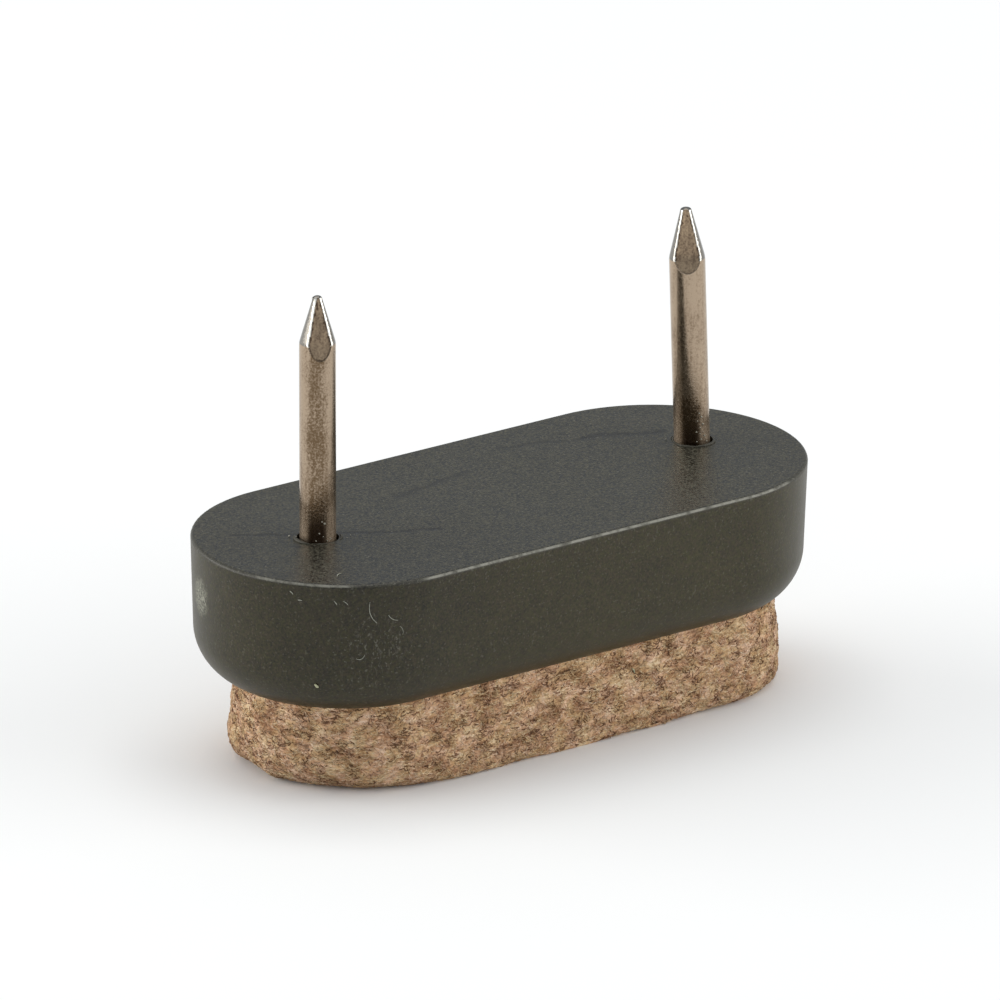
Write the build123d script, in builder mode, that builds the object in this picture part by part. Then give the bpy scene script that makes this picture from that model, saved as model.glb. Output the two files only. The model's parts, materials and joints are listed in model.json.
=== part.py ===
from build123d import *
import os
from math import atan2, degrees

# A felt glide that is nailed under the end of an oblong chair or table leg.
# A moulded plastic body carries a thick pressed-felt pad in a recess under it, and two
# headed wire nails that stand up out of its top face, ready to be driven into the leg.
#
# Lengths are in millimetres and angles in degrees.
# The origin is the middle of the felt's sole. X runs along the glide, Y across it, and
# Z up towards the nail points.

# Moulded body: a round-ended block that narrows a little downwards
BODY_LENGTH = 42.0
BODY_WIDTH = 18.4
BODY_HEIGHT = 8.5
BODY_DRAFT = 1.8
TOP_EDGE_RADIUS = 0.25
RIM_RADIUS = 3.3
RIM_FACING = 0.4
RIM_WALL = 2.2

# Recess in the underside, which holds the felt
RECESS_DEPTH = 2.1

# Felt pad: glued into the recess, and splayed a little below it
FELT_THICKNESS = 7.9
FELT_SPLAY = 0.3
FELT_EDGE_CHAMFER = 0.7

# Nails: set in the body with their heads under the felt, slightly off its middle line
# and not quite upright, as they were driven
NAIL_DIAMETER = 2.2
LEFT_NAIL_PROUD = 15.3
RIGHT_NAIL_PROUD = 15.05
NAIL_SPACING = 28.75
NAIL_SHIFT = 0.85
LEFT_NAIL_SIDEWAYS = 0.3
RIGHT_NAIL_SIDEWAYS = 0.9
LEFT_NAIL_LEAN = -0.5
RIGHT_NAIL_LEAN = -2.7
HEAD_DIAMETER = 4.6
HEAD_THICKNESS = 0.9
HEAD_CHAMFER = 0.2
HEAD_SINK = 0.2
HEAD_CLEARANCE = 0.1

# Nail points: four flats pinched out of the wire, the two broad ones longer
BROAD_FLAT_LENGTH = 4.0
NARROW_FLAT_LENGTH = 3.0
TIP_WIDTH = 0.45
TIP_DEPTH = 0.36
RIDGE_RADIUS = 0.5
TIP_RIDGE_RADIUS = 0.12
TIP_ROUNDING = 0.10
LEFT_POINT_TURN = -26.0
RIGHT_POINT_TURN = -36.0

# Moulded mouth round each nail where it leaves the top face
MOUTH_GAP = 0.18
MOUTH_DEPTH = 0.5

# Levels above the sole, worked out from the sizes above
rim_level = FELT_THICKNESS - RECESS_DEPTH
top_level = rim_level + BODY_HEIGHT
seat_level = FELT_THICKNESS + HEAD_SINK + HEAD_THICKNESS

# The recess and the part of the felt inside it share one outline
pocket_length = BODY_LENGTH - 2 * RIM_WALL
pocket_width = BODY_WIDTH - 2 * RIM_WALL

nail_radius = NAIL_DIAMETER / 2
head_radius = HEAD_DIAMETER / 2


def nail_plane(x, y, lean, turn):
    """The plane at the top face whose normal is the nail's axis."""
    start = Plane((x, y, top_level), x_dir=(1, 0, 0), z_dir=(0, 0, 1))
    return start.rotated((0, lean, 0)).rotated((0, 0, turn))


left_x = NAIL_SHIFT - NAIL_SPACING / 2
right_x = NAIL_SHIFT + NAIL_SPACING / 2
nail_planes = {
    "nail_left": nail_plane(left_x, LEFT_NAIL_SIDEWAYS, LEFT_NAIL_LEAN, LEFT_POINT_TURN),
    "nail_right": nail_plane(right_x, RIGHT_NAIL_SIDEWAYS, RIGHT_NAIL_LEAN, RIGHT_POINT_TURN),
}

proud_lengths = {"nail_left": LEFT_NAIL_PROUD, "nail_right": RIGHT_NAIL_PROUD}

# How far the head's upper face lies below the top face, measured down the nail
seat_drop = top_level - seat_level


# Body: the block is drawn down from its top face, rounded underneath, and faced flat
# where the rim meets the felt.
with BuildPart() as body:
    with BuildSketch(Plane.XY.offset(top_level)):
        SlotOverall(BODY_LENGTH, BODY_WIDTH)
    extrude(amount=-(BODY_HEIGHT + RIM_FACING), taper=BODY_DRAFT)
    fillet(body.edges().group_by(Axis.Z)[0], radius=RIM_RADIUS)
    fillet(body.edges().group_by(Axis.Z)[-1], radius=TOP_EDGE_RADIUS)
    split(bisect_by=Plane.XY.offset(rim_level), keep=Keep.TOP)
    # Recess for the felt
    with BuildSketch(Plane.XY.offset(rim_level)):
        SlotOverall(pocket_length, pocket_width)
    extrude(amount=RECESS_DEPTH, mode=Mode.SUBTRACT)
    # One stepped hole for each nail, along the nail's own axis
    for plane in nail_planes.values():
        with BuildSketch(plane):
            Circle(nail_radius)
        extrude(amount=-BODY_HEIGHT, both=True, mode=Mode.SUBTRACT)
        with BuildSketch(plane.offset(-seat_drop)):
            Circle(head_radius + HEAD_CLEARANCE)
        extrude(amount=-BODY_HEIGHT, mode=Mode.SUBTRACT)
        with BuildSketch(plane.offset(-MOUTH_DEPTH)):
            Circle(nail_radius + MOUTH_GAP)
        extrude(amount=BODY_HEIGHT, mode=Mode.SUBTRACT)

# Felt: a straight upper part that fills the recess, and a splayed lower part
splay_angle = degrees(atan2(FELT_SPLAY, rim_level))
with BuildPart() as felt:
    with BuildSketch(Plane.XY.offset(rim_level)):
        SlotOverall(pocket_length, pocket_width)
    extrude(amount=RECESS_DEPTH)
    with BuildSketch():
        SlotOverall(pocket_length + 2 * FELT_SPLAY, pocket_width + 2 * FELT_SPLAY)
    extrude(amount=rim_level, taper=splay_angle)
    chamfer(felt.edges().group_by(Axis.Z)[0], length=FELT_EDGE_CHAMFER)


def make_nail(plane, proud):
    """A headed wire nail whose four-sided point stands proud of the plane of the top face."""
    shoulder = proud - BROAD_FLAT_LENGTH
    # The narrow flats go on down to the shoulder at the same slope, clear of the wire
    narrow_slope = (nail_radius - TIP_WIDTH / 2) / NARROW_FLAT_LENGTH
    width_at_shoulder = TIP_WIDTH + 2 * narrow_slope * BROAD_FLAT_LENGTH
    with BuildPart() as nail:
        # Point: the end of the wire, kept only inside a slim rounded spike
        with BuildSketch(plane.offset(shoulder)):
            Circle(nail_radius)
        extrude(amount=BROAD_FLAT_LENGTH)
        with BuildSketch(plane.offset(shoulder)):
            RectangleRounded(width_at_shoulder, NAIL_DIAMETER, RIDGE_RADIUS)
        with BuildSketch(plane.offset(proud)):
            RectangleRounded(TIP_WIDTH, TIP_DEPTH, TIP_RIDGE_RADIUS)
        loft(mode=Mode.INTERSECT)
        # Shank
        with BuildSketch(plane.offset(-seat_drop)):
            Circle(nail_radius)
        extrude(amount=seat_drop + shoulder)
        # Head
        with BuildSketch(plane.offset(-seat_drop)):
            Circle(head_radius)
        extrude(amount=-HEAD_THICKNESS)
        along_nail = Axis(plane.origin, plane.z_dir)
        chamfer(nail.faces().sort_by(along_nail)[0].edges(), length=HEAD_CHAMFER)
        fillet(nail.faces().sort_by(along_nail)[-1].edges(), radius=TIP_ROUNDING)
    return nail.part


os.makedirs("parts", exist_ok=True)

body.part.label = "glide_body"
felt.part.label = "felt_pad"
export_step(body.part, "parts/glide_body.step")
export_step(felt.part, "parts/felt_pad.step")

for name, plane in nail_planes.items():
    nail_part = make_nail(plane, proud_lengths[name])
    nail_part.label = name
    export_step(nail_part, f"parts/{name}.step")
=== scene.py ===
import json
from math import cos, exp, log, pi, radians, sin, sqrt, tau

import bmesh
import bpy
from mathutils import Euler, Matrix, Vector, noise


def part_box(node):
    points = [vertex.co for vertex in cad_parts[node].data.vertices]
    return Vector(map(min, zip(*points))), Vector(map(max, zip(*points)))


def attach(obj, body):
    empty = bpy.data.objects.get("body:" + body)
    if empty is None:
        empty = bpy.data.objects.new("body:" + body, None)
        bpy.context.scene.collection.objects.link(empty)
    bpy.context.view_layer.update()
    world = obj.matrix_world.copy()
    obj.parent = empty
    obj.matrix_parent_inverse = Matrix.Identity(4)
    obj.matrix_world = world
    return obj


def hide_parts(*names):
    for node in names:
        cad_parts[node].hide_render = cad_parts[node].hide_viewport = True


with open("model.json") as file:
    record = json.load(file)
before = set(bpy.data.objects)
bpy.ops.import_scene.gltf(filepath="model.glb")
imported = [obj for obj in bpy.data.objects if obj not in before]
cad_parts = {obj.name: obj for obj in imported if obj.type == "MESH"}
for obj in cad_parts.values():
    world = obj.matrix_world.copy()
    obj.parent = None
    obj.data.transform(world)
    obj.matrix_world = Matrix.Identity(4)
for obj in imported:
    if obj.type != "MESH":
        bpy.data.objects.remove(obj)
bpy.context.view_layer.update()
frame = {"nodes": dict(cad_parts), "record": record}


# The body is one moulding of dark olive-grey plastic, a round-ended block with a recess
# under it for the felt. Its satin skin has a fine grain, faint flow marks where the melt
# closed behind the nails, a pale scuff on one end, and dust on the corner beside it. Its top
# face is painted paler and cooler as a painted sheen, its top edge carries a painted
# highlight, and painted shade darkens the corner round the dust.
MM = 0.001
BODY_OLIVE = (0.0325, 0.0295, 0.0095)
BODY_BROWN = (0.0355, 0.0275, 0.0130)
TOP_PAINTED_SHEEN = (0.0400, 0.0390, 0.0330)
FLOW_MARK_DARK = (0.010, 0.009, 0.008)
EDGE_HIGHLIGHT = (0.290, 0.282, 0.240)
SCUFF_PALE = (0.300, 0.300, 0.240)
DUST_PALE = (0.200, 0.190, 0.155)
BODY_ROUGHNESS = 0.42
BODY_SHINE = 0.32
GRAIN_SIZE = 0.15
FLOW_MARK_WIDTH = 0.40
# Start, end and strength of each flow mark on the top face, in millimetres
FLOW_MARKS = [
    ((-17.4, 3.7), (-14.2, 1.4), 0.8),
    ((-12.1, -0.1), (-6.8, -2.9), 0.9),
    ((-5.5, 3.1), (0.5, 4.1), 0.6),
    ((4.8, 6.4), (10.1, 5.0), 0.5),
    ((10.1, 5.0), (14.9, 2.9), 0.8),
]
# The same for the stretches of the top edge that carry a painted highlight, along its front and round one
# corner
EDGE_HIGHLIGHT_STRETCHES = [((-11.6, -9.2), (14.6, -9.2), 1.0), ((-20.4, -3.4), (-17.6, -7.2), 0.7)]
SCUFF_AT = (-20.5, 2.7, 11.3)
SCUFF_RADIUS = 1.5
DUST_AND_SHADE_AT = (-15.5, -8.0, 10.0)
DUSTY_RADIUS = 3.6
SHARP_ANGLE = radians(28)
WELD = 0.0005


class Socket:
    """An output of a node, in a material or a geometry tree, that takes +, - and *."""

    def __init__(self, tree, output=None):
        self.tree = tree
        self.output = output

    def node(self, kind, inputs=None, out=0, stops=None, **settings):
        """Adds a node, with its settings set first and then its inputs, and returns one output."""
        made = self.tree.nodes.new(kind)
        for name, value in settings.items():
            setattr(made, name, value)
        if stops:
            while len(made.color_ramp.elements) < len(stops):
                made.color_ramp.elements.new(1.0)
            for element, (position, colour) in zip(made.color_ramp.elements, stops):
                element.position = position
                element.color = (*colour, 1.0)
        for key, value in (inputs or {}).items():
            self.feed(made.inputs[key], value)
        return Socket(self.tree, made.outputs[out] if len(made.outputs) else None)

    def feed(self, target, value):
        if isinstance(value, Socket):
            self.tree.links.new(value.output, target)
        else:
            target.default_value = value

    def beside(self, name):
        """Another output of the same node."""
        return Socket(self.tree, self.output.node.outputs[name])

    def maths(self, operation, first, second=0.0):
        return self.node("ShaderNodeMath", {0: first, 1: second}, operation=operation)

    def vectors(self, operation, first, second=(0, 0, 0), out=0):
        return self.node("ShaderNodeVectorMath", {0: first, 1: second}, out, operation=operation)

    def __add__(self, other):
        return self.maths("ADD", self, other)

    def __sub__(self, other):
        return self.maths("SUBTRACT", self, other)

    def __rsub__(self, other):
        return self.maths("SUBTRACT", other, self)

    def __mul__(self, other):
        return self.maths("MULTIPLY", self, other)

    __radd__ = __add__
    __rmul__ = __mul__

    def clamped(self):
        return self.node("ShaderNodeClamp", {0: self})

    def between(self, low, high):
        """0 below low and 1 above high, with a smooth rise. High may be the smaller."""
        inputs = {"Value": self, "From Min": low, "From Max": high}
        return self.node("ShaderNodeMapRange", inputs, interpolation_type="SMOOTHSTEP")

    def scaled(self, x, y, z):
        return self.vectors("MULTIPLY", self, (x, y, z))

    def moved(self, x, y, z):
        return self.vectors("ADD", self, (x, y, z))

    def brightened(self, amount):
        """This colour times a number."""
        return self.node("ShaderNodeVectorMath", {0: self, "Scale": amount}, operation="SCALE")

    def noise(self, size, detail=2.0, roughness=0.5, distortion=0.0, out="Fac"):
        """Noise whose lumps are about this many millimetres across."""
        inputs = {
            "Vector": self,
            "Scale": 1 / size,
            "Detail": detail,
            "Roughness": roughness,
            "Distortion": distortion,
        }
        return self.node("ShaderNodeTexNoise", inputs, out)

    def wandering(self, size, reach):
        """This place pushed about by up to about the reach, in lumps of the size given."""
        push = self.noise(size, out="Color").moved(-0.5, -0.5, -0.5)
        return self.vectors("ADD", self, push.scaled(4 * reach, 4 * reach, 4 * reach))

    def shade(self, first, second, amount):
        """A mixture of two colours, each a link or plain red, green and blue."""
        first, second = (
            (*colour, 1.0) if isinstance(colour, tuple) else colour for colour in (first, second)
        )
        inputs = {"Factor": amount, "A": first, "B": second}
        return self.node("ShaderNodeMix", inputs, out="Result", data_type="RGBA")


def start_material(name, **constants):
    """A material with its shader's plain values set, and the place on the piece in millimetres."""
    material = bpy.data.materials.new(name)
    material.use_nodes = True
    tree = material.node_tree
    shader = tree.nodes["Principled BSDF"]
    for key, value in constants.items():
        shader.inputs[key.replace("_", " ")].default_value = value
    place = Socket(tree).node("ShaderNodeTexCoord", out="Object").scaled(1 / MM, 1 / MM, 1 / MM)
    return material, shader, place


def finish_material(place, shader, base, roughness, relief=None):
    """Links the colour, the roughness and a relief in millimetres to the shader."""
    place.feed(shader.inputs["Base Color"], base)
    place.feed(shader.inputs["Roughness"], roughness)
    if relief is not None:
        inputs = {"Height": relief, "Strength": 1.0, "Distance": MM}
        bump = place.node("ShaderNodeBump", inputs, "Normal")
        place.feed(shader.inputs["Normal"], bump)


def distance_to_line(place, start, end):
    """How far a point is from a straight line between two places."""
    along = Vector(end) - Vector(start)
    offset = place.vectors("SUBTRACT", place, tuple(start))
    share = place.vectors("DOT_PRODUCT", offset, along / along.length_squared, "Value").clamped()
    foot = place.node("ShaderNodeVectorMath", {0: tuple(along), "Scale": share}, operation="SCALE")
    return place.vectors("DISTANCE", offset, foot, "Value")


def distance_to_place(place, centre):
    return place.vectors("DISTANCE", place, tuple(centre), "Value")


def body_plastic(top):
    material, shader, place = start_material("body_plastic", IOR=1.5, Specular_IOR_Level=BODY_SHINE)
    clouds = place.noise(5.0, 3.0)
    mottle = place.noise(0.8, 3.0, 0.6)
    grain = place.noise(GRAIN_SIZE, 2.0, 0.7)
    other_grain = place.moved(9, 4, 2).noise(GRAIN_SIZE * 1.6, 2.0, 0.6)
    base = place.shade(BODY_OLIVE, BODY_BROWN, other_grain.between(0.35, 0.65))
    height = place.node("ShaderNodeSeparateXYZ", {0: place}, "Z")
    on_top = height.between(top - 0.3, top - 0.1)
    # Painted sheen: the top face is made paler and cooler, as the pale overhead light shows on it
    base = place.shade(base, TOP_PAINTED_SHEEN, on_top * 0.6)
    # Painted shade: the body is darkened by up to about a quarter over a wide reach round the dusty front
    # corner
    painted_shade = distance_to_place(place, DUST_AND_SHADE_AT).between(17.0, 3.0)
    level_top = height.between(top - 0.03, top - 0.005)
    uneven = (grain - 0.5) * (level_top * 4.6 + 2.0) + (mottle - 0.5) * 0.6 + (clouds - 0.5) * 0.35
    base = base.brightened(uneven - painted_shade * 0.24 + 1.0)
    level = place.wandering(2.0, 0.35).scaled(1, 1, 0)
    marks = 0.0
    for start, end, strength in FLOW_MARKS:
        nearness = distance_to_line(level, (*start, 0), (*end, 0)).between(FLOW_MARK_WIDTH, 0.0)
        marks = nearness * strength + marks
    marks = (marks * on_top).clamped()
    base = place.shade(base, FLOW_MARK_DARK, marks)
    # Painted highlight: the top edge's fillet is lightened a little all round, and much more along the
    # listed stretches, broken up by noise
    edge = height.between(top - 0.18, top - 0.11) * height.between(top - 0.015, top - 0.06)
    painted_highlight = 0.0
    for start, end, strength in EDGE_HIGHLIGHT_STRETCHES:
        nearness = distance_to_line(place.scaled(1, 1, 0), (*start, 0), (*end, 0)).between(1.5, 0.5)
        painted_highlight = nearness * strength + painted_highlight
    painted_highlight = edge * painted_highlight * (place.moved(5, 2, 0).noise(1.2, 3.0, 0.7).between(0.34, 0.60) * 0.8 + 0.2)
    base = place.shade(base, EDGE_HIGHLIGHT, painted_highlight.clamped() * 0.85 + edge * 0.06)
    scuff = distance_to_place(place.wandering(0.7, 0.25), SCUFF_AT)
    scuff = scuff.between(SCUFF_RADIUS, SCUFF_RADIUS * 0.3) * grain.between(0.38, 0.62)
    base = place.shade(base, SCUFF_PALE, scuff * 0.9)
    dusty = distance_to_place(place, DUST_AND_SHADE_AT).between(DUSTY_RADIUS, DUSTY_RADIUS * 0.2)
    scratches = place.wandering(0.6, 0.15).scaled(1, 1, 0.25).noise(0.16, 2.0, 0.7).between(0.53, 0.68)
    base = place.shade(base, DUST_PALE, scratches * dusty * 0.20)
    specks = place.moved(3, 1, 7).noise(0.15, 0.0).between(0.68, 0.78)
    base = place.shade(base, DUST_PALE, specks * (dusty * 0.20 + on_top * 0.20 + 0.15))
    rough = (clouds - 0.5) * 0.12 + (grain - 0.5) * (level_top * 0.5 + 0.2)
    rough = rough + scuff * 0.2 + dusty * 0.1 + BODY_ROUGHNESS
    relief = mottle * 0.010 + grain * (level_top * 0.0050 + 0.0075) - marks * 0.010
    finish_material(place, shader, base, rough, relief)
    return material


def new_piece(name, shape):
    """An object with a plain mesh made from a bmesh, its faces smooth and turned outwards."""
    bmesh.ops.recalc_face_normals(shape, faces=shape.faces)
    for face in shape.faces:
        face.smooth = True
    mesh = bpy.data.meshes.new(name)
    shape.to_mesh(mesh)
    shape.free()
    piece = bpy.data.objects.new(name, mesh)
    bpy.context.scene.collection.objects.link(piece)
    return piece


def as_plain_mesh(piece):
    """Fixes a piece's modifiers into its mesh."""
    seen = piece.evaluated_get(bpy.context.evaluated_depsgraph_get())
    mesh = bpy.data.meshes.new_from_object(seen)
    piece.modifiers.clear()
    piece.data = mesh


def mark_sharp_edges(shape, angle):
    for edge in shape.edges:
        edge.smooth = len(edge.link_faces) == 2 and edge.calc_face_angle() < angle


moulded = bmesh.new()
moulded.from_mesh(frame["nodes"]["glide_body"].data)
bmesh.ops.remove_doubles(moulded, verts=moulded.verts, dist=WELD * MM)
mark_sharp_edges(moulded, SHARP_ANGLE)
body = new_piece("moulded_body", moulded)
body.data.materials.clear()
weighted = body.modifiers.new("level flats", "WEIGHTED_NORMAL")
weighted.keep_sharp = True
weighted.weight = 100
as_plain_mesh(body)

body_low, body_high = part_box("glide_body")
TOP = body_high.z / MM
RIM = body_low.z / MM
body.data.materials.append(body_plastic(TOP))
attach(body, "root")
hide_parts("glide_body")


# Each nail is plated steel wire with a flat head held in the body, above the felt. Its
# point is turned to a blunt cone and pinched between dies, which leaves a long flat with
# a low wall round it on each side. The plating is warm in tone and lightly pitted.
NAIL_RADIUS = 1.1
HEAD_RADIUS = 2.3
HEAD_THICKNESS = 0.9
HEAD_CHAMFER = 0.2
HEAD_DEPTH = 5.3
FLAT_RUN_OUT = 1.2
FLAT_SUNK = 0.045
FLAT_BLEND = 0.012
SHOULDER_SOFTNESS = 0.02
RIDGE_SOFTNESS = 0.010
RIDGE_WIDTH = 0.13
RIDGE_BELOW_TIP = 0.12
GROOVE_WIDTH = 0.045
GROOVE_BELOW_TIP = 0.3
TIP_DOME = 0.13
TIP_END = 0.006
NAIL_STEPS_ROUND = 144
POINT_STEP = 0.04
POINT_MARGIN = 0.1
SHANK_STEP = 0.25
NAIL_SHARP_ANGLE = radians(60)
# Each nail's point: the turn of its flats, the radius of its cone under the tip, the cone's
# length, how far the flats are apart under the tip, their slope, and their length
POINTS = {
    "nail_left": (radians(-26), 0.23, 2.95, 0.45, 0.205, 3.80),
    "nail_right": (radians(-36), 0.30, 3.20, 0.52, 0.145, 3.90),
}
# The burr left on one nail's tip: its place round the tip, how far it stands out, how far
# it reaches round the tip, and its place and reach down the nail
BURR = ("nail_left", radians(-75), 0.07, 0.55, 0.12)
# What each vertex of a nail's point carries, from 0 to 1, for the plating, with the painted highlight on
# the ridge and the painted shade in the groove
POINT_MARKS = ("pinched", "turned_down", "ridge_highlight", "groove_shade")
NAIL_WARM = (0.150, 0.100, 0.058)
NAIL_PALE = (0.415, 0.322, 0.234)
NAIL_TURNED = (0.200, 0.188, 0.170)
NAIL_PINCHED = (0.460, 0.340, 0.225)
NAIL_PINCHED_DARK = (0.190, 0.135, 0.092)
NAIL_RIDGE_HIGHLIGHT = (0.960, 0.930, 0.850)
NAIL_GROOVE_SHADE = (0.060, 0.036, 0.024)
NAIL_SOIL_AND_REFLECTION = (0.034, 0.017, 0.010)
NAIL_ROUGHNESS = 0.23
NEAR_BODY_REACH = 3.0
BRIGHT_HEIGHT = 12.0


def nail_frame(node):
    """A nail's place on the top face, its axis, and the front and side of its point."""
    shank = next(mount for mount in frame["record"]["mounts"] if mount["name"] == f"{node}_shank")
    axis = Vector(shank["axis"]).normalized()
    turn, *_ = POINTS[node]
    front = Vector((sin(turn), -cos(turn), 0))
    front = (front - axis * front.dot(axis)).normalized()
    return Vector(shank["pos_m"]) / MM, axis, front, axis.cross(front)


def softly_least(values, softness):
    """The least of some values, with the corner between them rounded off."""
    low = min(values)
    return low - softness * log(sum(exp((low - value) / softness) for value in values))


def point_surface(node, below_tip, turn):
    """How far the nail's surface is from its axis, below its tip and round from its front, and
    how far it is pinched flat there, turned to a cone, on the ridge outside the flat (painted
    highlight), and in the groove inside it (painted shade), each from 0 to 1."""
    _, tip_radius, cone_length, flats_apart, slope, flat_length = POINTS[node]
    cone = tip_radius + (NAIL_RADIUS - tip_radius) * below_tip / cone_length
    if below_tip < TIP_DOME:
        cone *= sqrt(max(0.0, 1 - (1 - below_tip / TIP_DOME) ** 2)) * 0.97 + 0.03
    run_out = max(0.0, below_tip / FLAT_RUN_OUT - flat_length / FLAT_RUN_OUT + 1)
    left_over = NAIL_RADIUS - flats_apart / 2 - slope * flat_length
    flat = flats_apart / 2 + slope * below_tip + left_over * run_out * run_out
    flat /= max(0.02, abs(cos(turn)))
    wire = softly_least((NAIL_RADIUS, cone), SHOULDER_SOFTNESS)
    ragged = noise.noise(Vector((below_tip * 9, turn * 6, tip_radius * 50)))
    sunk = min(1.0, max(0.0, (wire - flat) / FLAT_BLEND + ragged * 0.5))
    radius = softly_least((wire, flat), RIDGE_SOFTNESS) - FLAT_SUNK * sunk * min(1.0, below_tip)
    burred, burr_turn, burr_height, burr_width, burr_reach = BURR
    if node == burred:
        spread = ((turn - burr_turn + pi) % tau - pi) / burr_width
        radius += burr_height * exp(-spread * spread - ((below_tip - burr_reach) / burr_reach) ** 2)
    turned_down = 1.0 if cone < NAIL_RADIUS else 0.0
    outside = flat - wire
    uneven = noise.noise(Vector((below_tip * 5, turn * 3, tip_radius * 90)))
    on_ridge = 0 <= outside < RIDGE_WIDTH * (1 + 0.8 * uneven)
    ridge_highlight = turned_down if on_ridge and below_tip > RIDGE_BELOW_TIP else 0.0
    groove_width = GROOVE_WIDTH * (1 + 1.6 * uneven) * (1.0 if turned_down else 0.5)
    groove_shade = 1.0 if 0 > outside > -groove_width and below_tip > GROOVE_BELOW_TIP else 0.0
    return radius, sunk, turned_down, ridge_highlight, groove_shade


def make_nail(node):
    base, axis, front, side = nail_frame(node)
    proud = (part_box(node)[1].z / MM - base.z) / axis.z
    *_, flat_length = POINTS[node]
    shoulder = proud - flat_length - POINT_MARGIN
    head_low = -HEAD_DEPTH - HEAD_THICKNESS
    # Each ring's height along the nail, and its radius, or None on the point's own surface
    rings = [
        (head_low, HEAD_RADIUS - HEAD_CHAMFER),
        (head_low + HEAD_CHAMFER, HEAD_RADIUS),
        (-HEAD_DEPTH, HEAD_RADIUS),
        (-HEAD_DEPTH, NAIL_RADIUS),
    ]
    steps = round((shoulder + HEAD_DEPTH) / SHANK_STEP)
    for step in range(1, steps + 1):
        rings.append((-HEAD_DEPTH + (shoulder + HEAD_DEPTH) * step / steps, NAIL_RADIUS))
    steps = round((proud - shoulder) / POINT_STEP)
    for step in range(1, steps):
        rings.append((shoulder + (proud - shoulder) * step / steps, None))
    rings.append((proud - TIP_END, None))
    shape = bmesh.new()
    layers = [shape.verts.layers.float.new(name) for name in POINT_MARKS]
    made = []
    for height, radius in rings:
        ring = []
        for step in range(NAIL_STEPS_ROUND):
            turn = tau * step / NAIL_STEPS_ROUND
            surface = (radius, 0, 0, 0, 0)
            if radius is None:
                surface = point_surface(node, proud - height, turn)
            spot = base + axis * height + (front * cos(turn) + side * sin(turn)) * surface[0]
            corner = shape.verts.new(spot * MM)
            for layer, amount in zip(layers, surface[1:]):
                corner[layer] = amount
            ring.append(corner)
        made.append(ring)
    for lower, upper in zip(made, made[1:]):
        for step in range(NAIL_STEPS_ROUND):
            after = (step + 1) % NAIL_STEPS_ROUND
            shape.faces.new((lower[step], lower[after], upper[after], upper[step]))
    for ring, height in ((made[0], head_low), (made[-1], proud)):
        centre = shape.verts.new((base + axis * height) * MM)
        for step in range(NAIL_STEPS_ROUND):
            shape.faces.new((ring[step], ring[(step + 1) % NAIL_STEPS_ROUND], centre))
    mark_sharp_edges(shape, NAIL_SHARP_ANGLE)
    return new_piece(node.replace("nail", "plated_nail"), shape)


def nail_metal(pitted_painted_dark_lines):
    """The plating, bright towards the point, pitted near the body, with soil and a painted dark
    reflection there, and a painted dark band with deeper pits along some lines down the wire."""
    material, shader, place = start_material("nail_metal")
    height = place.node("ShaderNodeSeparateXYZ", {0: place}, "Z")
    drawn = place.scaled(1, 1, 0.05).noise(0.20, 3.0, 0.6)
    cloudy = place.scaled(1, 1, 0.5).noise(0.9, 3.0, 0.6)
    pits = place.noise(0.13, 2.0, 0.65)
    pitted_painted_dark = 0.0
    for line in pitted_painted_dark_lines:
        pitted_painted_dark = distance_to_line(place.wandering(1.2, 0.05), *line).between(0.85, 0.22) + pitted_painted_dark
    bright = height.between(TOP, TOP + BRIGHT_HEIGHT)
    tone = (drawn - 0.5) * 1.2 + (cloudy - 0.5) * 1.4 + (pits - 0.5) * (pitted_painted_dark * 1.2 + 1.9)
    # Painted dark reflection: the tone drops along the band down the wire
    tone = tone - pitted_painted_dark * 0.70 + bright * 0.34 + 0.66
    base = place.shade(NAIL_WARM, NAIL_PALE, tone.clamped())
    pinched, turned_down, ridge_highlight, groove_shade = (
        place.node("ShaderNodeAttribute", out="Fac", attribute_name=name) for name in POINT_MARKS
    )
    base = place.shade(base, NAIL_TURNED, turned_down)
    worked = ((pits - 0.5) * 2.0 + (drawn - 0.5) * 1.5 + (cloudy - 0.5) * 2.0 + 0.45).clamped()
    base = place.shade(base, place.shade(NAIL_PINCHED, NAIL_PINCHED_DARK, worked), pinched)
    # Painted shade in the groove just inside each flat's edge
    base = place.shade(base, NAIL_GROOVE_SHADE, groove_shade * 0.8)
    # Painted highlight, near white, along the ridge outside each flat
    base = place.shade(base, NAIL_RIDGE_HIGHLIGHT, ridge_highlight)
    pitted_painted_dark = pitted_painted_dark * (1 - turned_down)
    low = height.between(TOP + NEAR_BODY_REACH, TOP)
    # Just above the body the plating is hazed, except on the painted dark band; there soil and a painted
    # dark reflection of the body gather most
    place.feed(shader.inputs["Metallic"], 1 - low * (1 - pitted_painted_dark).clamped() * 0.45)
    low = low * (pitted_painted_dark * 0.88 + 0.12)
    soil_and_reflection = (low * 0.75 + (pits - 0.5) * low * 2.4 + (cloudy - 0.5) * low).between(0.25, 0.7)
    base = place.shade(base, NAIL_SOIL_AND_REFLECTION, soil_and_reflection * 0.8)
    rough = (cloudy - 0.5) * 0.12 + (pits - 0.5) * 0.20 + soil_and_reflection * 0.15
    rough = rough + pinched * 0.12 + ridge_highlight * 0.15 + NAIL_ROUGHNESS
    relief = drawn * 0.004 + pits * (pitted_painted_dark * 0.006 + 0.003) + cloudy * 0.010
    finish_material(place, shader, base, rough, relief)
    return material


def line_down_nail(node, turn, low, high):
    """Both ends of a line down a nail's surface, at a turn round it from its front."""
    base, axis, front, side = nail_frame(node)
    foot = base + (front * cos(turn) + side * sin(turn)) * NAIL_RADIUS
    return foot + axis * low, foot + axis * high


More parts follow.
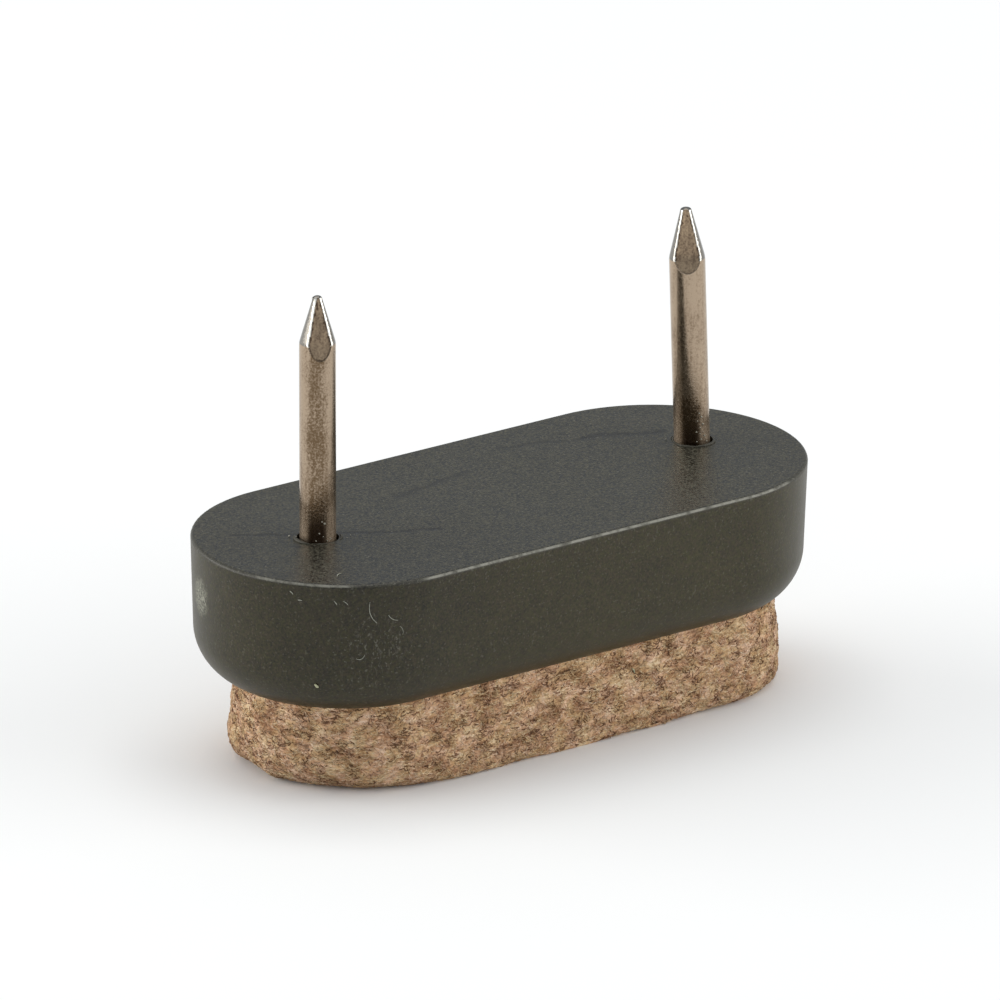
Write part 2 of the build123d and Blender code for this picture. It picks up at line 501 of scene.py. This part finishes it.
# A painted dark reflection runs in a band down one side of each wire, where the plating
# is also more pitted
plating = nail_metal(
    [
        line_down_nail("nail_left", radians(-14), -1, 12),
        line_down_nail("nail_right", radians(-5), -1, 2.6),
    ]
)
for node in POINTS:
    nail = make_nail(node)
    nail.data.materials.append(plating)
    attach(nail, "root")
    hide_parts(node)


# Where each nail leaves the body, the plastic has curled up in a thin rim of flash, and
# broken crumbs of it lie about and cling to the nail.
FLASH_COLOUR = (0.060, 0.055, 0.040)
CRUMB_COLOUR = (0.40, 0.38, 0.31)
CURL_STEPS = 12
CURL_SIDES = 8
CURL_RIPPLE = 0.05
# Nail, first and last turn round it in degrees, distance from its axis, height above the
# top face, and thickness of each curl of flash
FLASH_CURLS = [
    ("nail_left", 135, 212, 1.42, 0.02, 0.13),
    ("nail_left", 300, 345, 1.42, 0.02, 0.07),
    ("nail_left", 195, 300, 1.20, -0.07, 0.09),
    ("nail_left", 350, 460, 1.20, -0.07, 0.09),
    ("nail_right", 190, 246, 1.42, 0.02, 0.08),
    ("nail_right", 236, 322, 1.42, 0.02, 0.10),
    ("nail_right", 20, 285, 1.20, -0.07, 0.09),
]
# Nail, turn round it in degrees, distance from its axis, height above the top face, size
CRUMBS = [
    ("nail_left", 146, 1.70, 0.08, 0.14),
    ("nail_left", 152, 1.32, 0.08, 0.11),
    ("nail_left", 275, 1.13, 0.22, 0.10),
    ("nail_left", 238, 1.12, 0.60, 0.12),
    ("nail_left", 250, 1.12, 0.40, 0.08),
    ("nail_left", 246, 1.12, 1.35, 0.10),
    ("nail_left", 254, 1.12, 1.22, 0.14),
    ("nail_left", 228, 1.12, 0.14, 0.09),
    ("nail_left", 264, 1.12, 0.12, 0.10),
    ("nail_left", 315, 1.75, 0.05, 0.07),
    ("nail_left", 330, 1.95, 0.05, 0.06),
    ("nail_right", 150, 1.60, 0.06, 0.09),
    ("nail_right", 246, 1.12, 0.85, 0.11),
    ("nail_right", 258, 1.12, 0.72, 0.08),
    ("nail_right", 268, 1.12, 0.80, 0.07),
    ("nail_right", 254, 1.13, 2.05, 0.11),
    ("nail_right", 262, 1.13, 1.80, 0.14),
    ("nail_right", 249, 1.13, 1.55, 0.10),
    ("nail_right", 267, 1.13, 1.32, 0.15),
    ("nail_right", 258, 1.13, 1.12, 0.12),
    ("nail_right", 274, 1.13, 0.55, 0.15),
    ("nail_right", 262, 1.13, 0.36, 0.13),
    ("nail_right", 248, 1.12, 0.22, 0.09),
    ("nail_right", 284, 1.12, 0.16, 0.11),
    ("nail_right", 205, 1.85, 0.05, 0.06),
]


def add_tube(shape, places, radii, sides=6):
    """Adds a closed tube through places in millimetres, with a radius at each, to a bmesh."""
    rings = []
    befores = [places[0], *places]
    afters = [*places[1:], places[-1]]
    for place, before, after, radius in zip(places, befores, afters, radii):
        along = (after - before).normalized()
        across = along.cross(Vector((0.31, 0.17, 0.93))).normalized()
        up = along.cross(across)
        ring = []
        for step in range(sides):
            turn = tau * step / sides
            ring.append(shape.verts.new((place + (across * cos(turn) + up * sin(turn)) * radius) * MM))
        rings.append(ring)
    for first, second in zip(rings, rings[1:]):
        for step in range(sides):
            after = (step + 1) % sides
            shape.faces.new((first[step], first[after], second[after], second[step]))
    shape.faces.new(list(reversed(rings[0])))
    shape.faces.new(rings[-1])


def add_crumb(shape, place, size):
    """Adds a small rough lump to a bmesh."""
    lump = bmesh.ops.create_icosphere(shape, subdivisions=1, radius=size / 2 * MM)
    for vert in lump["verts"]:
        push = noise.noise(vert.co / (size * MM) * 1.7 + place)
        vert.co = vert.co * (1 + 0.7 * push) + place * MM


def plain_finish(name, colour, roughness):
    """A plain material with a little unevenness in its tone."""
    material, shader, place = start_material(name, Specular_IOR_Level=0.3)
    tone = place.noise(0.2, 2.0).between(0.3, 0.7)
    darker = tuple(0.8 * channel for channel in colour)
    finish_material(place, shader, place.shade(darker, colour, tone), roughness)
    return material


curls = bmesh.new()
for node, first, last, distance, height, thickness in FLASH_CURLS:
    centre = nail_frame(node)[0]
    spots, radii = [], []
    for step in range(CURL_STEPS + 1):
        turn = radians(first + (last - first) * step / CURL_STEPS)
        ripple = noise.noise(Vector((step * 0.7, first, 0)))
        reach = distance + CURL_RIPPLE * ripple
        rise = height + 0.8 * CURL_RIPPLE * ripple
        spots.append(centre + Vector((cos(turn) * reach, sin(turn) * reach, rise)))
        radii.append(thickness * (0.25 + 0.75 * sin(pi * step / CURL_STEPS)))
    add_tube(curls, spots, radii, CURL_SIDES)
flash = new_piece("mouth_flash", curls)
flash.data.materials.append(plain_finish("curled_flash", FLASH_COLOUR, 0.5))

lumps = bmesh.new()
for node, turn, reach, height, size in CRUMBS:
    turn = radians(turn)
    offset = Vector((cos(turn) * reach, sin(turn) * reach, height))
    add_crumb(lumps, nail_frame(node)[0] + offset, size)
crumbs = new_piece("flash_crumbs", lumps)
crumbs.data.materials.append(plain_finish("broken_flash", CRUMB_COLOUR, 0.6))
for piece in (flash, crumbs):
    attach(piece, "root")


# The pad is a thick slab of pressed wool felt, die-cut to a round-ended oblong and glued
# into the body's recess, a little off its middle. It spreads towards the sole, where its
# lower edge is rounded, and worn away most at one corner.
FELT_PLAY = 0.03
FELT_TOP_BEVEL = 0.3
POCKET_HALF_LENGTH = 18.8
POCKET_RADIUS = 7.0
FELT_SHIFT = 0.46
FELT_TIGHT = 0.12
FELT_SPREAD = 0.31
SPREAD_HEIGHT = 3.8
FELT_STEPS_ROUND = 760
WALL_STEPS = 26
EDGE_STEPS = 15
EDGE_ROUND = 0.36
EDGE_UNEVEN = 0.30
EDGE_LUMP = 2.6
LEAST_ROUND = 0.2
# How far below the rim the wall starts, and how far above it the felt comes loose
RIM_STEP = 0.05
# The height over which it comes loose
LOOSE_BLEND = 0.3
# How far the sole's rings of faces lie inside its rounded edge
SOLE_RINGS = (0.2, 0.6, 1.4)
# Places where the lower edge has worn rounder, how far the wear reaches, and how much
WORN_PLACES = [((-17.0, -4.6), 8.1, 2.0), ((-18.2, 2.8), 3.6, 1.1), ((13.3, -6.8), 7.4, 0.6)]
# The felt's lumps and tufts: how far they stand out, and how far they are apart
FELT_LUMP = 0.13
LUMP_SIZE = 1.9
FELT_TUFT = 0.07
TUFT_SIZE = 0.40
FELT_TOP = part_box("felt_pad")[1].z / MM


def pad_outline(share):
    """A place on the recess's outline and its outward direction, going once round from +X."""
    straight = 2 * (POCKET_HALF_LENGTH - POCKET_RADIUS)
    arc = pi * POCKET_RADIUS
    run = (share % 1.0) * 2 * (straight + arc)
    half = 1
    if run >= straight + arc:
        run -= straight + arc
        half = -1
    if run < arc:
        turn = run / POCKET_RADIUS - pi / 2
        out = Vector((cos(turn), sin(turn), 0))
        spot = Vector((straight / 2, 0, 0)) + out * POCKET_RADIUS
    else:
        out = Vector((0, 1, 0))
        spot = Vector((straight / 2 - (run - arc), POCKET_RADIUS, 0))
    return spot * half, out * half


def edge_rounding(spot):
    """The radius of the pad's lower edge at a place on its outline."""
    rounding = EDGE_ROUND + EDGE_UNEVEN * noise.noise(spot / EDGE_LUMP + Vector((3, 8, 1)))
    for place, reach, amount in WORN_PLACES:
        far = (spot.xy - Vector(place)).length / reach
        rounding += amount * max(0.0, 1 - far * far)
    return max(LEAST_ROUND, rounding)


def pad_profile(rounding):
    """Outset and height down one side of the pad, from its top to under its sole."""
    places = [(-POCKET_RADIUS * 0.6, FELT_TOP), (-1.0, FELT_TOP), (-FELT_TOP_BEVEL, FELT_TOP)]
    places += [(-FELT_PLAY, FELT_TOP - FELT_TOP_BEVEL), (-FELT_PLAY, RIM + 0.2)]
    for step in range(WALL_STEPS + 1):
        height = RIM - RIM_STEP + (rounding - RIM + RIM_STEP) * step / WALL_STEPS
        places.append((FELT_SPREAD * min(1.0, (RIM - height) / SPREAD_HEIGHT) - FELT_TIGHT, height))
    spread = places[-1][0]
    for step in range(1, EDGE_STEPS + 1):
        turn = pi / 2 * step / EDGE_STEPS
        places.append((spread - rounding * (1 - cos(turn)), rounding * (1 - sin(turn))))
    for inward in SOLE_RINGS:
        places.append((spread - rounding - inward, 0.0))
    return places


def felt_relief(place):
    """How far the felt's surface stands out at a place: broad lumps, and small tufts on them."""
    layered = Vector((place.x, place.y, place.z * 1.6))
    lumps = noise.fractal(layered / LUMP_SIZE, 0.8, 2.0, 2, noise_basis="PERLIN_ORIGINAL")
    elsewhere = layered / TUFT_SIZE + Vector((7, 3, 1))
    tufts = noise.fractal(elsewhere, 0.7, 2.0, 3, noise_basis="PERLIN_ORIGINAL")
    return FELT_LUMP * lumps + FELT_TUFT * tufts


def make_felt():
    shape = bmesh.new()
    columns = []
    for step in range(FELT_STEPS_ROUND):
        spot, out = pad_outline(step / FELT_STEPS_ROUND)
        rounding = edge_rounding(spot)
        column = []
        for outset, height in pad_profile(rounding):
            loose = min(1.0, max(0.0, (RIM + RIM_STEP - height) / LOOSE_BLEND))
            place = spot + out * outset + Vector((FELT_SHIFT * loose, 0, height))
            under = max(0.0, 1 - height / rounding)
            push = felt_relief(place) * loose
            place += out * push * (1 - under) + Vector((0, 0, max(0.0, push) * under))
            column.append(shape.verts.new(place * MM))
        columns.append(column)
    for first, second in zip(columns, columns[1:] + columns[:1]):
        for level in range(len(first) - 1):
            shape.faces.new((first[level], first[level + 1], second[level + 1], second[level]))
    for level, height in ((0, FELT_TOP * MM), (-1, 0.0)):
        centre = shape.verts.new((0, 0, height))
        for first, second in zip(columns, columns[1:] + columns[:1]):
            shape.faces.new((first[level], second[level], centre))
    return new_piece("wool_felt_pad", shape)


FELT_STOPS = [
    (0.00, (0.120, 0.056, 0.025)),
    (0.25, (0.340, 0.182, 0.086)),
    (0.48, (0.575, 0.345, 0.176)),
    (0.72, (0.710, 0.468, 0.264)),
    (1.00, (0.840, 0.635, 0.415)),
]


def wool_patches(place):
    """The felt's darker and paler patches and level streaks, as a tone about zero."""
    patches = place.scaled(1, 1, 1.7).noise(1.8, 2.0, 0.5)
    streaks = place.scaled(1, 1, 3.0).noise(1.0, 3.0, 0.6)
    return (patches - 0.5) * 1.7 + (streaks - 0.5) * 1.3


def wool_tinted(place, base):
    """The felt's colour with its wools' slight differences of hue, redder and greener."""
    hue = place.moved(4, 9, 2).noise(0.9, 2.0, 0.6).between(0.38, 0.62)
    return place.vectors("MULTIPLY", base, place.shade((0.99, 0.97, 1.10), (0.97, 1.02, 1.03), hue))


def wool_felt():
    material, shader, place = start_material("wool_felt", Specular_IOR_Level=0.15)
    layered = place.scaled(1, 1, 1.6)
    clumps = layered.noise(0.38, 3.0, 0.6, 0.6)
    hairs = layered.noise(0.14, 2.0, 0.6, 1.2)
    tone = wool_patches(place) + (clumps - 0.5) * 0.9 + (hairs - 0.5) * 1.0 + 0.5
    base = place.node("ShaderNodeValToRGB", {0: tone.clamped()}, stops=FELT_STOPS)
    finish_material(place, shader, wool_tinted(place, base), 1.0, clumps * 0.08 + hairs * 0.05)
    return material


felt = make_felt()
felt.data.materials.append(wool_felt())
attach(felt, "root")
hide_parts("felt_pad")


# The felt's loose surface wool: short curved hairs, most of them fair or pale, and some
# dark and gathered in level streaks, as the layers of wool were laid before pressing.
FAIR_WOOL = [(0.360, 0.208, 0.105), (0.670, 0.446, 0.258)]
PALE_WOOL = [(0.510, 0.328, 0.172), (0.860, 0.670, 0.440)]
DARK_WOOL = [(0.110, 0.055, 0.027), (0.330, 0.186, 0.096)]
# How far the hairs' roots stay from the floor and from the body's rim
FLOOR_MARGIN = 0.16
RIM_MARGIN = 0.15


def wool_fibre(name, first, second):
    material, shader, place = start_material(name, Specular_IOR_Level=0.2)
    tone = place.node("ShaderNodeAttribute", out="Fac", attribute_name="fibre_tone")
    tone = (tone * 0.7 + wool_patches(place) + 0.15).clamped()
    finish_material(place, shader, wool_tinted(place, place.shade(first, second, tone)), 0.85)
    return material


def fibre_tree():
    """A geometry tree that covers a mesh with short bent hairs, and the identifiers of its inputs."""
    tree = bpy.data.node_groups.new("surface_wool", "GeometryNodeTree")
    tree.interface.new_socket("Geometry", in_out="INPUT", socket_type="NodeSocketGeometry")
    sizes = {
        "Hairs per square millimetre": "NodeSocketFloat",
        "Shortest": "NodeSocketFloat",
        "Longest": "NodeSocketFloat",
        "Thickness": "NodeSocketFloat",
        "Gathered": "NodeSocketFloat",
        "Lowest": "NodeSocketFloat",
        "Highest": "NodeSocketFloat",
        "Seed": "NodeSocketInt",
        "Material": "NodeSocketMaterial",
    }
    names = {
        name: tree.interface.new_socket(name, in_out="INPUT", socket_type=kind).identifier
        for name, kind in sizes.items()
    }
    tree.interface.new_socket("Geometry", in_out="OUTPUT", socket_type="NodeSocketGeometry")
    given = Socket(tree).node("NodeGroupInput", out="Geometry")
    seed = given.beside("Seed")

    def chance(low, high, salt):
        inputs = {2: low, 3: high, "Seed": seed + salt}
        return given.node("FunctionNodeRandomValue", inputs, out=1, data_type="FLOAT")

    place = given.node("GeometryNodeInputPosition").scaled(1 / MM, 1 / MM, 1 / MM)
    height = given.node("ShaderNodeSeparateXYZ", {0: place}, "Z")
    gathering = place.scaled(1, 1, 2.6).noise(1.5, 2.0, 0.6).between(0.48, 0.62)
    share = 1 + given.beside("Gathered") * (gathering * 2.6 - 1)
    kept = given.maths("GREATER_THAN", height, given.beside("Lowest"))
    kept = kept * given.maths("LESS_THAN", height, given.beside("Highest"))
    spots = given.node(
        "GeometryNodeDistributePointsOnFaces",
        {
            "Mesh": given,
            "Selection": kept,
            "Density": given.beside("Hairs per square millimetre") * share * (1 / MM**2),
            "Seed": seed,
        },
        out="Points",
        distribute_method="RANDOM",
    )
    normal = spots.beside("Normal")
    level = given.node("ShaderNodeVectorMath", {0: normal, 1: (0, 0, 1)}, operation="CROSS_PRODUCT")
    turned = given.node(
        "FunctionNodeAlignRotationToVector",
        {"Rotation": spots.beside("Rotation"), "Vector": level},
        axis="X",
        pivot_axis="Z",
    )
    spin = chance(-1.0, 1.0, 11) * chance(0.2, 1.6, 12)
    tilt = given.node("ShaderNodeCombineXYZ", {"Y": chance(-0.12, 0.12, 13), "Z": spin})
    turned = given.node(
        "FunctionNodeRotateRotation",
        {"Rotation": turned, "Rotate By": given.node("FunctionNodeEulerToRotation", {0: tilt})},
        rotation_space="LOCAL",
    )
    bend = given.node(
        "GeometryNodeCurveQuadraticBezier",
        {"Resolution": 3, "Start": (-0.5, 0, -0.3), "Middle": (0.05, 1.6, 1.0), "End": (0.5, -0.3, -0.3)},
    )
    ring = given.node("GeometryNodeCurvePrimitiveCircle", {"Resolution": 3, "Radius": 0.5})
    hair = given.node(
        "GeometryNodeCurveToMesh", {"Curve": bend, "Profile Curve": ring, "Fill Caps": True}
    )
    length = chance(given.beside("Shortest"), given.beside("Longest"), 14) * MM
    width = given.beside("Thickness") * chance(0.7, 1.3, 15) * MM
    scale = given.node("ShaderNodeCombineXYZ", {"X": length, "Y": width, "Z": width})
    hairs = given.node(
        "GeometryNodeInstanceOnPoints",
        {"Points": spots, "Instance": hair, "Rotation": turned, "Scale": scale},
    )
    hairs = given.node(
        "GeometryNodeStoreNamedAttribute",
        {"Geometry": hairs, "Name": "fibre_tone", "Value": chance(0.0, 1.0, 16)},
        data_type="FLOAT",
        domain="INSTANCE",
    )
    hairs = given.node("GeometryNodeRealizeInstances", {"Geometry": hairs})
    spot = given.node("ShaderNodeSeparateXYZ", {0: given.node("GeometryNodeInputPosition")}, "X")
    above = given.maths("MAXIMUM", spot.beside("Z"), 0.01 * MM)
    settled = given.node("ShaderNodeCombineXYZ", {"X": spot, "Y": spot.beside("Y"), "Z": above})
    hairs = given.node("GeometryNodeSetPosition", {"Geometry": hairs, "Position": settled})
    finish = {"Geometry": hairs, "Material": given.beside("Material")}
    hairs = given.node("GeometryNodeSetMaterial", finish)
    given.node("NodeGroupOutput", {"Geometry": hairs})
    return tree, names


wool_tree, wool_inputs = fibre_tree()
# Hairs per square millimetre, shortest, longest and thickness in millimetres, how far
# they are gathered in streaks, seed and colours
WOOL = {
    "fair_wool": (17.0, 0.15, 0.50, 0.062, 0.0, 3, FAIR_WOOL),
    "pale_wool": (16.0, 0.14, 0.45, 0.050, 0.0, 5, PALE_WOOL),
    "dark_wool": (10.0, 0.12, 0.32, 0.075, 0.85, 8, DARK_WOOL),
}
for name, (density, shortest, longest, thickness, gathered, seed, colours) in WOOL.items():
    wool = bpy.data.objects.new(name, felt.data.copy())
    bpy.context.scene.collection.objects.link(wool)
    growth = wool.modifiers.new("surface wool", "NODES")
    growth.node_group = wool_tree
    given_sizes = {
        "Hairs per square millimetre": density,
        "Shortest": shortest,
        "Longest": longest,
        "Thickness": thickness,
        "Gathered": gathered,
        "Lowest": FLOOR_MARGIN,
        "Highest": RIM - RIM_MARGIN,
        "Seed": seed,
        "Material": wool_fibre(name, *colours),
    }
    for key, value in given_sizes.items():
        growth[wool_inputs[key]] = value
    as_plain_mesh(wool)
    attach(wool, "root")


# Lint that has settled on the body and the felt: fine pale hairs, which lie along the
# surface, most of them on the dusty corner, and two short thick shreds like straw.
HAIR_STEPS = 8
LINT_COLOUR = (0.30, 0.30, 0.25)
STRAW_COLOUR = (0.46, 0.46, 0.30)
# Both ends of each hair, how far its middle bows out sideways, and its thickness
LINT_HAIRS = [
    ((-15.95, -8.17, 13.22), (-15.53, -8.31, 11.84), -0.22, 0.05),
    ((-16.60, -7.68, 9.60), (-16.15, -7.95, 9.85), -0.14, 0.05),
    ((-16.74, -5.93, 14.32), (-16.20, -5.60, 14.32), 0.06, 0.06),
    ((-19.51, -4.99, 13.73), (-19.40, -5.15, 13.55), 0.03, 0.07),
    ((-19.21, -5.39, 13.22), (-19.05, -5.60, 13.20), 0.03, 0.07),
    ((-17.73, -6.98, 13.31), (-17.60, -7.10, 13.05), 0.03, 0.06),
    ((-17.30, -7.30, 13.30), (-17.05, -7.45, 13.05), 0.05, 0.05),
    ((-14.90, -8.60, 12.30), (-14.30, -8.70, 11.90), -0.10, 0.05),
    ((-14.20, -8.80, 11.50), (-14.00, -8.85, 10.90), 0.10, 0.03),
]
STRAW_HAIRS = [
    ((-18.39, -6.02, 7.91), (-18.25, -6.15, 7.70), 0.02, 0.16),
    ((4.55, -7.20, 4.15), (4.85, -7.25, 3.90), 0.04, 0.10),
]


def add_hair(shape, start, end, bow, thickness):
    """Adds a bowed hair that lies on the surface of the body or the felt."""
    start, end = Vector(start), Vector(end)
    ground = body if start.z > RIM else felt
    out = ground.closest_point_on_mesh((start + end) / 2 * MM)[2]
    sideways = out.cross(end - start).normalized() * bow
    spots, radii = [], []
    for step in range(HAIR_STEPS + 1):
        share = step / HAIR_STEPS
        arch = 4 * share * (1 - share)
        spot = ground.closest_point_on_mesh((start.lerp(end, share) + sideways * arch) * MM)[1] / MM
        spots.append(spot + out * (thickness * (0.2 + 0.4 * arch)))
        radii.append(thickness / 2 * (0.5 + 0.5 * arch))
    add_tube(shape, spots, radii)


LINT = {
    "lint_hairs": (LINT_HAIRS, LINT_COLOUR),
    "straw_hairs": (STRAW_HAIRS, STRAW_COLOUR),
}
for name, (hairs, colour) in LINT.items():
    strands = bmesh.new()
    for hair in hairs:
        add_hair(strands, *hair)
    lint = new_piece(name, strands)
    lint.data.materials.append(plain_finish(name, colour, 0.8))
    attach(lint, "root")


# The glide stands on a plain pale floor between two low soft lamps and under a third, and
# the camera looks down on it from its front left, from far off. Lengths from here on are
# in metres, and the lens and its film in millimetres.
CAMERA_AZIMUTH = radians(-37.367)
CAMERA_ELEVATION = radians(19.943)
CAMERA_ROLL = radians(-0.538)
CAMERA_DISTANCE = 0.97906
CAMERA_RIGHT = -0.0731 * MM
CAMERA_UP = 7.924 * MM
CAMERA_LEVEL = 5.43 * MM
CAMERA_LENS = 583.65
CAMERA_FILM = 36.0
CAMERA_REACH = 20

camera_data = bpy.data.cameras.new("camera")
camera_data.lens = CAMERA_LENS
camera_data.sensor_width = CAMERA_FILM
camera_data.clip_end = CAMERA_REACH
camera = bpy.data.objects.new("camera", camera_data)
bpy.context.scene.collection.objects.link(camera)
bpy.context.scene.camera = camera
turned = Euler((pi / 2 - CAMERA_ELEVATION, 0, CAMERA_AZIMUTH)).to_matrix()
camera.matrix_world = (turned @ Matrix.Rotation(-CAMERA_ROLL, 3, "Z")).to_4x4()
towards = turned @ Vector((0, 0, 1))
camera.location = (
    towards * CAMERA_DISTANCE
    + turned @ Vector((CAMERA_RIGHT, CAMERA_UP, 0))
    + Vector((0, 0, CAMERA_LEVEL))
)

FLOOR_HALF = 1.6
FLOOR_COLOUR = (0.94, 0.94, 0.94)
floor_shape = bmesh.new()
bmesh.ops.create_grid(floor_shape, x_segments=1, y_segments=1, size=FLOOR_HALF)
floor = new_piece("floor", floor_shape)
floor_material, floor_shader, _ = start_material("pale_floor", Roughness=0.9, Specular_IOR_Level=0.0)
floor_shader.inputs["Base Color"].default_value = (*FLOOR_COLOUR, 1)
floor.data.materials.append(floor_material)

WORLD_COLOUR = (0.92, 0.98, 1.04)
WORLD_STRENGTH = 0.52
world = bpy.data.worlds.new("room")
world.use_nodes = True
world.node_tree.nodes["Background"].inputs["Color"].default_value = (*WORLD_COLOUR, 1)
world.node_tree.nodes["Background"].inputs["Strength"].default_value = WORLD_STRENGTH
bpy.context.scene.world = world
bpy.context.scene.view_settings.view_transform = "Standard"

camera_right = turned @ Vector((1, 0, 0))
level_back = Vector((towards.x, towards.y, 0)).normalized()
LAMP_COLOUR = (1.0, 0.97, 0.92)
LAMP_AIM = Vector((0, 0, 0.012))
# Right, towards the camera, up, width, height and power of each lamp, in metres and watts
LAMPS = {
    "left_lamp": (-0.50, -0.01, 0.15, 0.55, 0.22, 1.70),
    "right_lamp": (0.48, 0.03, 0.15, 0.55, 0.22, 1.20),
    "top_lamp": (0.0, -0.10, 0.80, 0.7, 0.6, 2.6),
}
for name, (across, nearer, high, wide, tall, power) in LAMPS.items():
    lamp_data = bpy.data.lights.new(name, "AREA")
    lamp_data.shape = "RECTANGLE"
    lamp_data.size = wide
    lamp_data.size_y = tall
    lamp_data.energy = power
    lamp_data.color = LAMP_COLOUR
    lamp = bpy.data.objects.new(name, lamp_data)
    bpy.context.scene.collection.objects.link(lamp)
    lamp.visible_camera = False
    lamp.location = camera_right * across + level_back * nearer + Vector((0, 0, high))
    lamp.rotation_euler = (LAMP_AIM - lamp.location).to_track_quat("-Z", "Y").to_euler()
